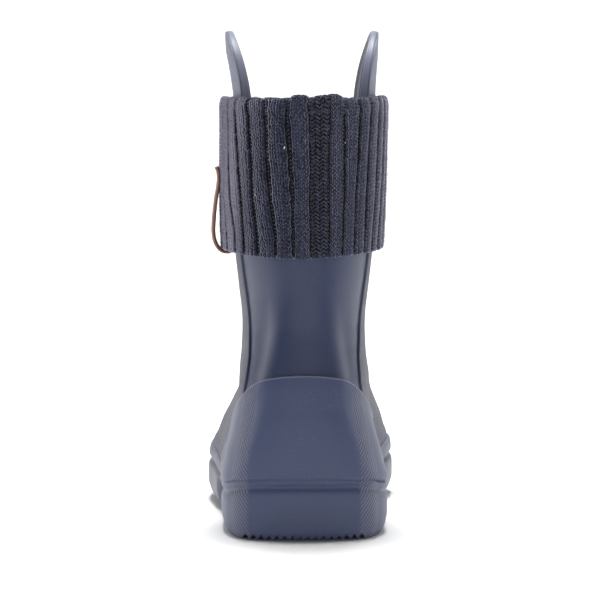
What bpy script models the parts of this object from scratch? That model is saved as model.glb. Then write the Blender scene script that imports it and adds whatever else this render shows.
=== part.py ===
"""A child's moulded rubber boot with a turned-down knitted cuff, two pull loops and a leather tab.

Metres, +Z up, toe towards +Y. It is the left boot, so its outer side is at -X.
"""

import math
from collections import namedtuple

import bmesh
import bpy
from mathutils import Vector

# Driving sizes of the moulded boot
SOLE_LENGTH = 0.188
BALL_WIDTH = 0.078
COLLAR_HEIGHT = 0.165
WALL = 0.0026
GAP = 0.0003

# Moulded steps in the upper's wall
PANEL_DEPTH = 0.0008
COUNTER_STEP = 0.0008
PANEL_TOP = 0.90

# Pull loops: the arch stands on the collar over the ankle
LOOP_RISE = 0.0320
LOOP_SPAN = 0.0400
LOOP_BAND = 0.0090
LOOP_THICKNESS = 0.0044
LOOP_CROWN_THICKNESS = 0.0031
OUTER_LOOP_LEAN = 0.0006
INNER_LOOP_LEAN = -0.0012
LOOP_BOW = 0.0007
LOOP_ROOT = 0.0070
LOOP_CENTRE = 0.282
LOOP_CHANNEL_WIDTH = 0.0008
LOOP_CHANNEL_DEPTH = 0.0008
LOOP_CHANNEL_PLACE = 0.42
LOOP_ROUNDING = 0.0007

# Outsole
TREAD_DEPTH = 0.0020
TREAD_SLOT = 0.0024
TREAD_PITCH = 0.0088
TREAD_WAVE = 0.0020
TREAD_WAVE_PITCH = 0.0120
TREAD_MARGIN = 0.0070
TOOTH_PITCH = 0.0030
TOOTH_DEPTH = 0.0013
TOOTH_WIDTH = 0.0022
TOOTH_COUNT = 16
TOOTH_LENGTH = 0.0085
HEEL_RADIUS = 0.0284
ARCH_RISE = 0.0050
WAIST_INSET = 0.0040
TOE_SPRING = 0.0090
HEEL_BEVEL = 0.0004
EDGE_HEIGHT = 0.0075
SHOULDER_DROP = 0.0026
SIDE_GROOVE = 0.0010
RAND_SHARE = 0.45
LEDGE = WALL + 0.0012

# Insole
INSOLE_THICKNESS = 0.0035

# Knitted cuff: one tube, turned down over itself
CUFF_HEM = 0.1090
CUFF_TOP = 0.0055
CUFF_LAYER = 0.0017
CUFF_SPACE = 0.0003
CUFF_OUTER = 0.0021
RIB_DEPTH = 0.0010
SEAM_RIB = -1
CUFF_INNER_END = 0.1240
HEM_LIFT = 0.0008
HEM_INNER_TILT = 0.0026
HEM_OUTER_TILT = 0.0020

# Leather tab, folded under the hem on the outer side
TAB_WIDTH = 0.0160
TAB_THICKNESS = 0.0012
TAB_CENTRE = 0.282

# Numbers of sections and columns
UPPER_COLUMNS = 44
SOLE_COLUMNS = 56
FINE = 1e-4

Level = namedtuple("Level", "rise back front foot shaft width")

# Sections of the upper from the sole's ledge (rise 0) to the collar (rise 1), and on to the loops' top.
# back and front are shares of the sole's length, foot and shaft the shares of those two outlines
# (the rest is the instep's), and width is the shaft's half width as a share of the ball's width.
LEVELS = (
    Level(0.000, 0.012, 0.986, 1.00, 0.00, 0.330),
    Level(0.012, 0.012, 0.986, 1.00, 0.00, 0.330),
    Level(0.036, 0.010, 0.992, 0.87, 0.00, 0.326),
    Level(0.079, 0.009, 0.984, 0.69, 0.00, 0.324),
    Level(0.122, 0.010, 0.957, 0.45, 0.00, 0.322),
    Level(0.158, 0.012, 0.912, 0.27, 0.00, 0.320),
    Level(0.190, 0.016, 0.848, 0.12, 0.00, 0.319),
    Level(0.235, 0.021, 0.777, 0.00, 0.00, 0.318),
    Level(0.285, 0.029, 0.702, 0.00, 0.20, 0.316),
    Level(0.346, 0.040, 0.625, 0.00, 0.50, 0.306),
    Level(0.420, 0.051, 0.564, 0.00, 0.80, 0.310),
    Level(0.520, 0.056, 0.527, 0.00, 1.00, 0.331),
    Level(0.654, 0.055, 0.513, 0.00, 1.00, 0.356),
    Level(0.823, 0.049, 0.515, 0.00, 1.00, 0.368),
    Level(1.000, 0.043, 0.521, 0.00, 1.00, 0.375),
    Level(1.240, 0.036, 0.532, 0.00, 1.00, 0.392),
)

Fullness = namedtuple("Fullness", "along foot_out foot_in instep_out instep_in")

# How full each outline is along its own length, as shares of the ball's width
OUTLINES = (
    Fullness(0.03, 0.790, 0.820, 0.530, 0.530),
    Fullness(0.08, 0.660, 0.690, 0.485, 0.485),
    Fullness(0.15, 0.553, 0.590, 0.430, 0.430),
    Fullness(0.22, 0.485, 0.514, 0.385, 0.394),
    Fullness(0.38, 0.405, 0.395, 0.325, 0.352),
    Fullness(0.55, 0.441, 0.400, 0.315, 0.360),
    Fullness(0.68, 0.510, 0.490, 0.335, 0.395),
    Fullness(0.80, 0.553, 0.562, 0.359, 0.412),
    Fullness(0.92, 0.571, 0.571, 0.367, 0.401),
)

Station = namedtuple("Station", "along middle ledge groove floor bulge inset")

# Heights of the sole's side in metres, at shares of its length. bulge is how far it stands out from the
# upper, inset how far its lower edge draws in, and middle the foot's centre line towards the inner side,
# as a share of the ball's width.
STATIONS = (
    Station(0.00, 0.000, 0.0246, 0.0214, 0.0125, 0.0003, 0.0010),
    Station(0.05, 0.000, 0.0234, 0.0200, 0.0122, 0.0003, 0.0012),
    Station(0.13, 0.000, 0.0206, 0.0166, 0.0118, 0.0004, 0.0022),
    Station(0.30, 0.000, 0.0196, 0.0150, 0.0112, 0.0006, 0.0034),
    Station(0.45, 0.005, 0.0206, 0.0155, 0.0100, 0.0012, 0.0040),
    Station(0.62, 0.019, 0.0227, 0.0173, 0.0080, 0.0021, 0.0050),
    Station(0.75, 0.037, 0.0244, 0.0178, 0.0085, 0.0024, 0.0054),
    Station(0.88, 0.062, 0.0265, 0.0200, 0.0110, 0.0019, 0.0050),
    Station(1.00, 0.077, 0.0290, 0.0230, 0.0145, 0.0020, 0.0052),
)
SHAFT_MIDDLE = 0.015

# The moulded heel counter's upper edge (share of the outline, rise), and the smooth back panel's
# two edges (rise, share of the outline)
COUNTER_EDGE = (
    (0.00, 0.286),
    (0.04, 0.274),
    (0.08, 0.255),
    (0.14, 0.229),
    (0.20, 0.201),
    (0.26, 0.171),
    (0.33, 0.130),
    (0.40, 0.075),
    (0.46, 0.030),
)
PANEL_EDGE = (
    (0.15, 0.125),
    (0.25, 0.132),
    (0.30, 0.152),
    (0.334, 0.179),
    (0.382, 0.228),
    (0.43, 0.262),
    (0.49, 0.290),
    (0.60, 0.312),
    (1.00, 0.320),
)

Rib = namedtuple("Rib", "number top middle hem")

# Where the cuff's rib edges stand at three heights, as shares of the girth from the middle of the heel:
# positive on the outer side. Between the rows they are evenly spread, and they draw together to the hem.
RIBS = (
    Rib(-17, -0.5000, -0.5000, -0.5000),
    Rib(-5, -0.1502, -0.1395, -0.1331),
    Rib(-4, -0.1175, -0.1090, -0.1065),
    Rib(-3, -0.0871, -0.0816, -0.0812),
    Rib(-2, -0.0567, -0.0563, -0.0562),
    Rib(-1, -0.0300, -0.0309, -0.0301),
    Rib(0, -0.0042, -0.0059, -0.0075),
    Rib(1, 0.0262, 0.0215, 0.0194),
    Rib(2, 0.0635, 0.0543, 0.0479),
    Rib(3, 0.0985, 0.0879, 0.0788),
    Rib(4, 0.1373, 0.1207, 0.1121),
    Rib(5, 0.1696, 0.1594, 0.1410),
    Rib(15, 0.5000, 0.5000, 0.5000),
)
RIB_HEIGHTS = (0.116, 0.131, 0.164)

# How far the fold stands up at the ribs (rib number, height)
FOLD_LIFT = (
    (-17, 0.0003),
    (-8, 0.0006),
    (-5, 0.0010),
    (-4, 0.0005),
    (-3, 0.0002),
    (-2, 0.0001),
    (-1.6, 0.0015),
    (-0.9, 0.0020),
    (-0.5, 0.0017),
    (-0.05, 0.0009),
    (0.3, 0.0014),
    (0.8, 0.0013),
    (1.05, 0.0001),
    (2.5, 0.0001),
    (4, 0.0005),
    (15, 0.0003),
)

# The tab's run, from its free top end over the cuff, under the hem and up behind it:
# the distance out from the cuff's face, and the height above the hem
TAB_RUN = (
    (0.0018, 0.0322),
    (0.0011, 0.0300),
    (0.0010, 0.0278),
    (0.0013, 0.0250),
    (0.0021, 0.0211),
    (0.0030, 0.0158),
    (0.0036, 0.0111),
    (0.0040, 0.0068),
    (0.0039, 0.0041),
    (0.0033, 0.0016),
    (0.0020, -0.0005),
    (0.0004, -0.0013),
    (-0.0012, -0.0014),
    (-0.0023, -0.0010),
    (-0.0031, 0.0004),
    (-0.00325, 0.0026),
    (-0.00325, 0.0100),
)

COLOURS = {
    "upper": ((0.085, 0.098, 0.150), 0.48),
    "outsole": ((0.085, 0.098, 0.150), 0.52),
    "insole": ((0.055, 0.060, 0.080), 0.90),
    "knitted_cuff": ((0.060, 0.066, 0.096), 0.95),
    "leather_tab": ((0.210, 0.085, 0.050), 0.60),
}


def smooth(table, at, column=1):
    """The value of a table's column at a place in its first column, on a smooth curve with no overshoot."""
    if at <= table[0][0]:
        return table[0][column]
    if at >= table[-1][0]:
        return table[-1][column]
    k = max(i for i in range(len(table) - 1) if table[i][0] <= at)
    slopes = []
    for i in range(len(table) - 1):
        slopes.append((table[i + 1][column] - table[i][column]) / (table[i + 1][0] - table[i][0]))

    def tangent(i):
        if i == 0 or i == len(table) - 1:
            return slopes[min(i, len(slopes) - 1)]
        before, after = slopes[i - 1], slopes[i]
        if before * after <= 0:
            return 0.0
        return 2 * before * after / (before + after)

    step = table[k + 1][0] - table[k][0]
    t = (at - table[k][0]) / step
    low, high = table[k][column], table[k + 1][column]
    return (
        low * (1 + 2 * t) * (1 - t) ** 2
        + high * t * t * (3 - 2 * t)
        + step * tangent(k) * t * (1 - t) ** 2
        - step * tangent(k + 1) * t * t * (1 - t)
    )


def station(y, name):
    """A height, bulge or centre line of the sole at a place along its length."""
    return smooth(STATIONS, y / SOLE_LENGTH, Station._fields.index(name))


def level(rise, name):
    """One column of the sections' table at a rise."""
    return smooth(LEVELS, rise, Level._fields.index(name))


def fullness(along, name):
    """One column of the outlines' table at a share of an outline's length."""
    return smooth(OUTLINES, along, Fullness._fields.index(name))


def rise_at(y, z):
    """The rise whose section passes a height at a place along the length."""
    ledge = station(y, "ledge")
    return (z - ledge) / (COLLAR_HEIGHT - ledge)


def section_point(angle, rise):
    """A point of the outer surface. The angle runs from the heel's back round the outer side to the toe."""
    along = (1 - math.cos(angle)) / 2
    back, front = (level(rise, name) * SOLE_LENGTH for name in ("back", "front"))
    y = back + along * (front - back)
    side = "out" if math.sin(angle) >= 0 else "in"
    foot, shaft = level(rise, "foot"), level(rise, "shaft")
    full = foot * fullness(along, "foot_" + side)
    full += (1 - foot - shaft) * fullness(along, "instep_" + side)
    full += shaft * level(rise, "width")
    middle = (1 - shaft) * station(y, "middle") + shaft * SHAFT_MIDDLE
    x = (middle - math.sin(angle) * full) * BALL_WIDTH
    ledge = station(y, "ledge")
    return Vector((x, y, ledge + rise * (COLLAR_HEIGHT - ledge)))


def skin(angle, rise, out=0.0):
    """A point a distance out from the outer surface, square to its outline seen from above."""
    point = section_point(angle, rise)
    if out == 0.0:
        return point
    run = section_point(angle + FINE, rise) - section_point(angle - FINE, rise)
    outward = Vector((-run.y, run.x, 0)).normalized()
    return point - outward * out if outward.dot(Vector((math.sin(angle), math.cos(angle), 0))) > 0 else point + outward * out


def angle_on_shaft(y, rise, side):
    """The angle of the outline's point at a place along the length, on the outer (1) or inner (-1) side."""
    back, front = (level(rise, name) * SOLE_LENGTH for name in ("back", "front"))
    along = min(max((y - back) / (front - back), 0.0), 1.0)
    return side * math.acos(1 - 2 * along) % math.tau


def on_shaft(y, z, side, out=0.0):
    """A point on the shaft's side, a distance out from its surface."""
    rise = rise_at(y, z)
    point = skin(angle_on_shaft(y, rise, side), rise, out)
    return Vector((point.x, point.y, z))


def ring(rise, columns, out=0.0):
    return [skin(math.tau * k / columns, rise, out) for k in range(columns)]


def mesh_object(name, points, faces, collection):
    """An object from points and faces, with its faces turned outwards."""
    mesh = bpy.data.meshes.new(name)
    mesh.from_pydata([tuple(p) for p in points], [], faces)
    work = bmesh.new()
    work.from_mesh(mesh)
    bmesh.ops.recalc_face_normals(work, faces=work.faces)
    work.to_mesh(mesh)
    work.free()
    obj = bpy.data.objects.new(name, mesh)
    collection.objects.link(obj)
    return obj


def loft(rings, closed_end=False):
    """Points and faces between rings of equal length. A closed end joins the last ring to the first."""
    count = len(rings[0])
    points = [p for one in rings for p in one]
    faces = []
    for r in range(len(rings) if closed_end else len(rings) - 1):
        low, high = r * count, ((r + 1) % len(rings)) * count
        for k in range(count):
            after = (k + 1) % count
            faces.append((low + k, low + after, high + after, high + k))
    return points, faces


def across(first, count):
    """Faces that close a ring from its outer side straight across to its inner side."""
    faces = [(first, first + 1, first + count - 1)]
    for k in range(1, count // 2 - 1):
        faces.append((first + k, first + k + 1, first + count - k - 1, first + count - k))
    middle = first + count // 2
    faces.append((middle - 1, middle, middle + 1))
    return faces


def slab(name, grid, low, high, collection):
    """A closed patch of the boot's surface, from a distance under it to a distance over it."""
    rows, columns = len(grid), len(grid[0])
    points = [skin(a, r, out) for out in (low, high) for row in grid for a, r in row]
    faces = []
    for face in range(2):
        base = face * rows * columns
        for r in range(rows - 1):
            for c in range(columns - 1):
                k = base + r * columns + c
                faces.append((k, k + 1, k + columns + 1, k + columns))
    border = [(0, c) for c in range(columns - 1)] + [(r, columns - 1) for r in range(rows - 1)]
    border += [(rows - 1, c) for c in range(columns - 1, 0, -1)] + [(r, 0) for r in range(rows - 1, 0, -1)]
    steps = [r * columns + c for r, c in border]
    for here, after in zip(steps, steps[1:] + steps[:1]):
        faces.append((here, after, after + rows * columns, here + rows * columns))
    return mesh_object(name, points, faces, collection)


def prism(outline, start, end):
    """Points and faces of an outline carried from one shift to another."""
    count = len(outline)
    points = [Vector(p) + Vector(shift) for shift in (start, end) for p in outline]
    faces = [tuple(range(count)), tuple(range(2 * count - 1, count - 1, -1))]
    for k in range(count):
        after = (k + 1) % count
        faces.append((k, after, count + after, count + k))
    return points, faces


def joined(bodies):
    """Several lists of points and faces as one."""
    points, faces = [], []
    for more_points, more_faces in bodies:
        base = len(points)
        points += more_points
        faces += [tuple(base + k for k in face) for face in more_faces]
    return points, faces


def boolean(obj, cutter, operation):
    modifier = obj.modifiers.new(operation.lower() + "_" + cutter.name, "BOOLEAN")
    modifier.operation = operation
    modifier.solver = "EXACT"
    modifier.object = cutter
    cutter.hide_render = True
    cutter.display_type = "WIRE"


def paint(obj):
    """The piece's own material, from the table of colours."""
    colour, roughness = COLOURS[obj.name]
    material = bpy.data.materials.new(obj.name)
    material.use_nodes = True
    shader = material.node_tree.nodes["Principled BSDF"]
    shader.inputs["Base Color"].default_value = (*colour, 1)
    shader.inputs["Roughness"].default_value = roughness
    shader.inputs["Metallic"].default_value = 0
    obj.data.materials.append(material)
    obj.data.shade_smooth()
    obj.data.set_sharp_from_angle(angle=math.radians(35))


def ring_rises():
    """The upper's sections: every row of the table up to the collar, and one between each two on the foot."""
    rises = []
    for here, after in zip(LEVELS, LEVELS[1:]):
        if here.rise >= 1:
            break
        rises.append(here.rise)
        if here.front - after.front > 0.05:
            rises.append((here.rise + after.rise) / 2)
    return rises + [1.0]


def counter_grid():
    """The heel counter's patch: from just over the ledge up to its falling upper edge."""
    grid = []
    reach = math.acos(1 - 2 * COUNTER_EDGE[-1][0])
    for row in range(5):
        line = []
        for column in range(21):
            angle = reach * (column / 10 - 1)
            top = smooth(COUNTER_EDGE, (1 - math.cos(angle)) / 2)
            line.append((angle, 0.006 + (top - 0.006) * row / 4))
        grid.append(line)
    return grid


def panel_grid():
    """The shaft's smooth back panel, from under the counter to under the cuff."""
    grid = []
    for row in range(9):
        rise = PANEL_EDGE[0][0] + (PANEL_TOP - PANEL_EDGE[0][0]) * row / 8
        edge = math.acos(1 - 2 * smooth(PANEL_EDGE, rise))
        grid.append([(edge * (column / 5 - 1), rise) for column in range(11)])
    return grid


def loop_path():
    """Points up one leg of a pull loop, over the arch and down the other, along the length and height."""
    half = LOOP_SPAN / 2
    spring = COLLAR_HEIGHT + LOOP_RISE * 0.22
    crown = COLLAR_HEIGHT + LOOP_RISE - LOOP_BAND / 2 - spring
    centre = LOOP_CENTRE * SOLE_LENGTH
    path = [(centre - half, COLLAR_HEIGHT - LOOP_ROOT), (centre - half, COLLAR_HEIGHT)]
    for k in range(13):
        turn = math.pi * k / 12
        path.append((centre - half * math.cos(turn), spring + crown * math.sin(turn)))
    path += [(centre + half, COLLAR_HEIGHT), (centre + half, COLLAR_HEIGHT - LOOP_ROOT)]
    return path


def loop_section(deep, height):
    """The band's outline at one thickness: across the band (outwards of the arch) and out from the shaft.

    The channel along its rim runs out towards the top of the arch.
    """
    half, soft = LOOP_BAND / 2, LOOP_ROUNDING
    channel, lip = LOOP_CHANNEL_DEPTH * (1 - height), LOOP_CHANNEL_WIDTH / 2
    middle = -deep * LOOP_CHANNEL_PLACE
    return (
        (-half + soft, 0),
        (half - soft, 0),
        (half, -soft),
        (half, middle + lip + channel / 3),
        (half - channel, middle + lip),
        (half - channel, middle - lip),
        (half, middle - lip - channel / 3),
        (half, -deep + soft),
        (half - soft, -deep),
        (-half + soft, -deep),
        (-half, -deep + soft),
        (-half, -soft),
    )


def make_loop(name, side, lean, collection):
    """A pull loop on one side, whose legs run down into the shaft's wall. It leans and bows out a little."""
    path = loop_path()
    rings = []
    for k, (y, z) in enumerate(path):
        before, after = path[max(k - 1, 0)], path[min(k + 1, len(path) - 1)]
        run = Vector((after[0] - before[0], after[1] - before[1])).normalized()
        outward = Vector((-run.y, run.x))
        height = min(max((z - COLLAR_HEIGHT) / LOOP_RISE, 0.0), 1.0)
        deep = LOOP_THICKNESS + (LOOP_CROWN_THICKNESS - LOOP_THICKNESS) * height
        out = lean * height + LOOP_BOW * 4 * height * (1 - height)
        ring_points = []
        for u, v in loop_section(deep, height):
            ring_points.append(on_shaft(y + u * outward.x, z + u * outward.y, side, v + out))
        rings.append(ring_points)
    points, faces = loft(rings)
    count = len(rings[0])
    faces += [tuple(range(count)), tuple(range(len(points) - 1, len(points) - count - 1, -1))]
    return mesh_object(name, points, faces, collection)


def make_upper(parts, helpers):
    """The moulded foot and shaft with both pull loops: one hollow shell, open below and at the collar."""
    rings = []
    for rise in ring_rises():
        rings.append([p + Vector((0, 0, GAP * (1 - rise))) for p in ring(rise, UPPER_COLUMNS)])
    points, faces = loft(rings)
    upper = mesh_object("upper", points, faces, parts)
    if upper.data.polygons[0].normal.y > 0:
        upper.data.flip_normals()
    wall = upper.modifiers.new("wall", "SOLIDIFY")
    wall.thickness = WALL
    wall.offset = -1
    wall.use_even_offset = True
    boolean(upper, slab("back_panel_recess", panel_grid(), -PANEL_DEPTH, 0.003, helpers), "DIFFERENCE")
    boolean(upper, slab("heel_counter", counter_grid(), -WALL / 2, COUNTER_STEP, helpers), "UNION")
    for name, side, lean in (("outer_loop", 1, OUTER_LOOP_LEAN), ("inner_loop", -1, INNER_LOOP_LEAN)):
        boolean(upper, make_loop(name, side, lean, helpers), "UNION")
    return upper


def waist(y):
    """1 in the sole's waist, between heel and forefoot, and 0 under both of them."""
    along = y / SOLE_LENGTH
    return smooth(((0.32, 0.0), (0.37, 1.0), (0.44, 1.0), (0.49, 0.0)), along)


def ground(y):
    """The height of the sole's underside: flat under heel and ball, raised in the waist and at the toe."""
    along = y / SOLE_LENGTH
    spring = max(0.0, along - 0.77) / 0.23
    bevel = max(0.0, 0.035 - along) / 0.035
    return ARCH_RISE * waist(y) + TOE_SPRING * spring * spring + HEEL_BEVEL * bevel


def side_steps(y):
    """The sole's side from the underside up to the ledge: the distance out, the height, and the waist's share."""
    ledge, groove, bulge, inset = (station(y, name) for name in ("ledge", "groove", "bulge", "inset"))
    band = ledge - groove
    wall_top = groove - SHOULDER_DROP
    return (
        (bulge - inset, ground(y), 1.0),
        (bulge - inset * 0.3, ground(y) + 0.4 * EDGE_HEIGHT, 0.9),
        (bulge, min(ground(y) + EDGE_HEIGHT, wall_top - 0.001), 0.8),
        (bulge, wall_top, 0.5),
        (bulge - 0.4 * SIDE_GROOVE, groove - 0.0011, 0.0),
        (bulge * 0.7 - 1.1 * SIDE_GROOVE, groove - 0.0003, 0.0),
        (bulge * 0.7 - SIDE_GROOVE, groove + 0.0004, 0.0),
        (bulge * 0.8 - 0.1 * SIDE_GROOVE, groove + 0.0011, 0.0),
        (bulge * 0.85, groove + RAND_SHARE * band, 0.0),
        (bulge * 0.3, ledge - 0.0004, 0.0),
        (-0.0001, ledge, 0.0),
        (-LEDGE, ledge, 0.0),
        (-LEDGE - 0.0008, station(y, "floor") + 0.0012, 0.0),
        (-LEDGE - 0.0016, station(y, "floor"), 0.0),
    )


def sole_ring(step, columns):
    """One ring round the sole, for one step of its side."""
    points = []
    for k in range(columns):
        angle = math.tau * k / columns
        y = section_point(angle, 0).y
        out, height, pinch = side_steps(y)[step]
        point = skin(angle, 0, out - pinch * WAIST_INSET * waist(y))
        points.append(Vector((point.x, point.y, height)))
    return points


def half_width(y, side):
    """The sole's half width at a place along its length, from the row's middle plane."""
    return abs(skin(angle_on_shaft(y, 0, side), 0).x)


def tread_slots():
    """Wavy slots across the heel and the forefoot, closed off short of the sole's edge."""
    bodies = []
    for first, last in ((0.100, 0.31), (0.515, 0.93)):
        y, end = first * SOLE_LENGTH, last * SOLE_LENGTH
        while y < end:
            near, far = -half_width(y, 1) + TREAD_MARGIN, half_width(y, -1) - TREAD_MARGIN
            steps = max(2, round((far - near) / (TREAD_WAVE_PITCH / 2)))
            line = []
            for k in range(steps + 1):
                wave = TREAD_WAVE / 2 * (1 if k % 2 else -1)
                line.append((near + (far - near) * k / steps, y + wave))
            outline = [(x, v - TREAD_SLOT / 2, 0) for x, v in line]
            outline += [(x, v + TREAD_SLOT / 2, 0) for x, v in reversed(line)]
            top = max(ground(y - TREAD_SLOT), ground(y)) + TREAD_DEPTH
            bodies.append(prism(outline, (0, 0, -0.003), (0, 0, top)))
            y += TREAD_PITCH
    return joined(bodies)


def heel_teeth():
    """Notches that run fore and aft through the heel's rear edge and leave a row of teeth."""
    bodies = []
    for k in range(TOOTH_COUNT):
        x = (k - (TOOTH_COUNT - 1) / 2) * TOOTH_PITCH
        flare = 0.001 / TOOTH_DEPTH * TOOTH_WIDTH / 2
        top = HEEL_BEVEL / 2 + TOOTH_DEPTH
        outline = (
            (x - TOOTH_WIDTH / 2 - flare, 0, -0.001),
            (x, 0, top),
            (x + TOOTH_WIDTH / 2 + flare, 0, -0.001),
        )
        bodies.append(prism(outline, (0, -0.004, 0), (0, TOOTH_LENGTH + x * x / (2 * HEEL_RADIUS), 0)))
    return joined(bodies)


def make_outsole(parts, helpers):
    """The moulded sole: tread, bevelled side with its groove and rand, and the tray that holds the insole."""
    steps = len(side_steps(0))
    points, faces = loft([sole_ring(step, SOLE_COLUMNS) for step in range(steps)])
    faces += across(0, SOLE_COLUMNS) + across((steps - 1) * SOLE_COLUMNS, SOLE_COLUMNS)
    outsole = mesh_object("outsole", points, faces, parts)
    boolean(outsole, mesh_object("tread_slots", *tread_slots(), helpers), "DIFFERENCE")
    boolean(outsole, mesh_object("heel_teeth", *heel_teeth(), helpers), "DIFFERENCE")
    return outsole


def make_insole(parts):
    """The removable footbed, which lies in the sole's tray."""
    levels = (
        (LEDGE + 0.0016 + GAP, GAP),
        (LEDGE + 0.0008 + GAP, GAP + 0.0012),
        (LEDGE + 0.0008 + GAP, GAP + INSOLE_THICKNESS * 0.85),
        (LEDGE + 0.0018 + GAP, GAP + INSOLE_THICKNESS),
    )
    rings = []
    for inset, lift in levels:
        points = []
        for k in range(SOLE_COLUMNS):
            point = skin(math.tau * k / SOLE_COLUMNS, 0, -inset)
            edge = section_point(math.tau * k / SOLE_COLUMNS, 0)
            points.append(Vector((point.x, point.y, station(edge.y, "floor") + lift)))
        rings.append(points)
    points, faces = loft(rings)
    faces += across(0, SOLE_COLUMNS) + across((len(rings) - 1) * SOLE_COLUMNS, SOLE_COLUMNS)
    return mesh_object("insole", points, faces, parts)


def girth_table(rise=0.8, steps=720):
    """Shares of the way round the shaft, measured along its outline, and the angles at them."""
    points = [section_point(math.tau * k / steps, rise) for k in range(steps + 1)]
    run = [0.0]
    for here, after in zip(points, points[1:]):
        run.append(run[-1] + (after - here).length)
    return [(length / run[-1], math.tau * k / steps) for k, length in enumerate(run)]


def between(table, at, column=1):
    """The value of a table's column at a place in its first column, on straight lines."""
    k = max(i for i in range(len(table) - 1) if table[i][0] <= at)
    share = (at - table[k][0]) / (table[k + 1][0] - table[k][0])
    return table[k][column] + share * (table[k + 1][column] - table[k][column])


def rib_share(number, z):
    """Where a line of the cuff stands at a height, as a share of the girth. Whole numbers are rib edges."""
    top, middle, hem = (between(RIBS, number, column) for column in (1, 2, 3))
    heights = tuple(zip(RIB_HEIGHTS, (hem, middle, top)))
    return between(heights, min(max(z, RIB_HEIGHTS[0]), RIB_HEIGHTS[-1])) % 1


def cuff_columns():
    """The cuff's columns: each one's rib number and how far it is raised (1 on a rib)."""
    columns = []
    for rib in range(RIBS[0].number, RIBS[-1].number):
        crest = 0.0 if rib == SEAM_RIB else 1.0
        for place, raised in ((0.10, 0.0), (0.25, crest), (0.75, crest), (0.90, 0.0)):
            columns.append((rib + place, raised))
    return columns


def cuff_face():
    """How far the cuff's ribs stand out from the shaft."""
    return GAP + CUFF_LAYER + CUFF_SPACE + CUFF_OUTER


def hem_height(point):
    """The turned-down hem: a little lower at the back than at the sides, and highest on the inner side."""
    lift = HEM_LIFT * (min(1.0, point.y / (0.25 * SOLE_LENGTH)) - 0.5)
    tilt = HEM_INNER_TILT if point.x > 0 else HEM_OUTER_TILT
    return CUFF_HEM + lift + tilt * abs(point.x) / (BALL_WIDTH / 2)


def cuff_section(hem, lift):
    """The cuff's folded wall: the distance out from the shaft, the height, and how far the ribs show there."""
    top = COLLAR_HEIGHT + CUFF_TOP
    face, back = cuff_face(), cuff_face() - CUFF_OUTER
    inner = GAP + CUFF_LAYER
    outer_rows = [(face, hem + 0.0008 + (COLLAR_HEIGHT - 0.001 - hem) * k / 2, 1.0) for k in range(3)]
    fold = (
        (face * 0.86, top - 0.0014 + lift, 0.7),
        (face * 0.55, top + lift, 0.3),
        (face * 0.22, top - 0.0012 + lift, 0.0),
        (GAP, top - 0.0045 + lift, 0.0),
    )
    inner_rows = (
        (GAP, CUFF_INNER_END, 0.0),
        (inner, CUFF_INNER_END, 0.0),
        (inner, COLLAR_HEIGHT - 0.001, 0.0),
        (back, COLLAR_HEIGHT - 0.001, 0.0),
        (back, hem, 0.0),
        (face - 0.0009, hem, 0.6),
    )
    return (*outer_rows, *fold, *inner_rows)


def make_cuff(parts):
    """The rib-knit cuff: a tube fixed round the collar and turned down outside it."""
    girth = girth_table()
    lines = []
    for number, raised in cuff_columns():
        line = []
        place = section_point(between(girth, rib_share(number, RIB_HEIGHTS[1])), 0.8)
        for out, z, show in cuff_section(hem_height(place), smooth(FOLD_LIFT, number)):
            angle = between(girth, rib_share(number, z))
            away = out - (1 - raised) * show * RIB_DEPTH
            point = skin(angle, rise_at(section_point(angle, 0.8).y, z), away)
            line.append(Vector((point.x, point.y, z)))
        lines.append(line)
    points, faces = loft(lines, closed_end=True)
    return mesh_object("knitted_cuff", points, faces, parts)


def make_tab(parts):
    """A blank leather label, stitched to the cuff and folded under its hem."""
    centre = TAB_CENTRE * SOLE_LENGTH
    face, hem = cuff_face(), hem_height(on_shaft(centre, CUFF_HEM, 1))
    rings = []
    for column in range(5):
        y = centre + TAB_WIDTH * (column / 4 - 0.5)
        sides = ([], [])
        for k, (out, lift) in enumerate(TAB_RUN):
            before, after = TAB_RUN[max(k - 1, 0)], TAB_RUN[min(k + 1, len(TAB_RUN) - 1)]
            run = Vector((after[0] - before[0], after[1] - before[1])).normalized()
            for line, reach in zip(sides, (TAB_THICKNESS / 2, -TAB_THICKNESS / 2)):
                place = face + out - run.y * reach
                line.append(on_shaft(y, hem + lift + run.x * reach, 1, place))
        rings.append(sides[0] + sides[1][::-1])
    points, faces = loft(rings)
    count = len(rings[0])
    for base in (0, len(points) - count):
        for k in range(count // 2 - 1):
            faces.append((base + k, base + k + 1, base + count - k - 2, base + count - k - 1))
    return mesh_object("leather_tab", points, faces, parts)


def centre_on_floor(objects):
    """Moves everything so that the row's origin lies on the floor under the middle of the boot."""
    bpy.context.view_layer.update()
    graph = bpy.context.evaluated_depsgraph_get()
    corners = []
    for obj in objects:
        if not obj.hide_render:
            corners += [Vector(c) for c in obj.evaluated_get(graph).bound_box]
    middle = Vector([(min(c[i] for c in corners) + max(c[i] for c in corners)) / 2 for i in (0, 1)] + [0])
    for obj in objects:
        obj.location = -middle


def main():
    for obj in list(bpy.data.objects):
        bpy.data.objects.remove(obj, do_unlink=True)
    parts = bpy.data.collections.new("rubber_boot")
    helpers = bpy.data.collections.new("shapes_joined_or_cut")
    for collection in (parts, helpers):
        bpy.context.scene.collection.children.link(collection)
    pieces = [
        make_upper(parts, helpers),
        make_outsole(parts, helpers),
        make_insole(parts),
        make_cuff(parts),
        make_tab(parts),
    ]
    for piece in pieces:
        paint(piece)
    centre_on_floor([*parts.objects, *helpers.objects])


main()
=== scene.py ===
import math

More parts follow.
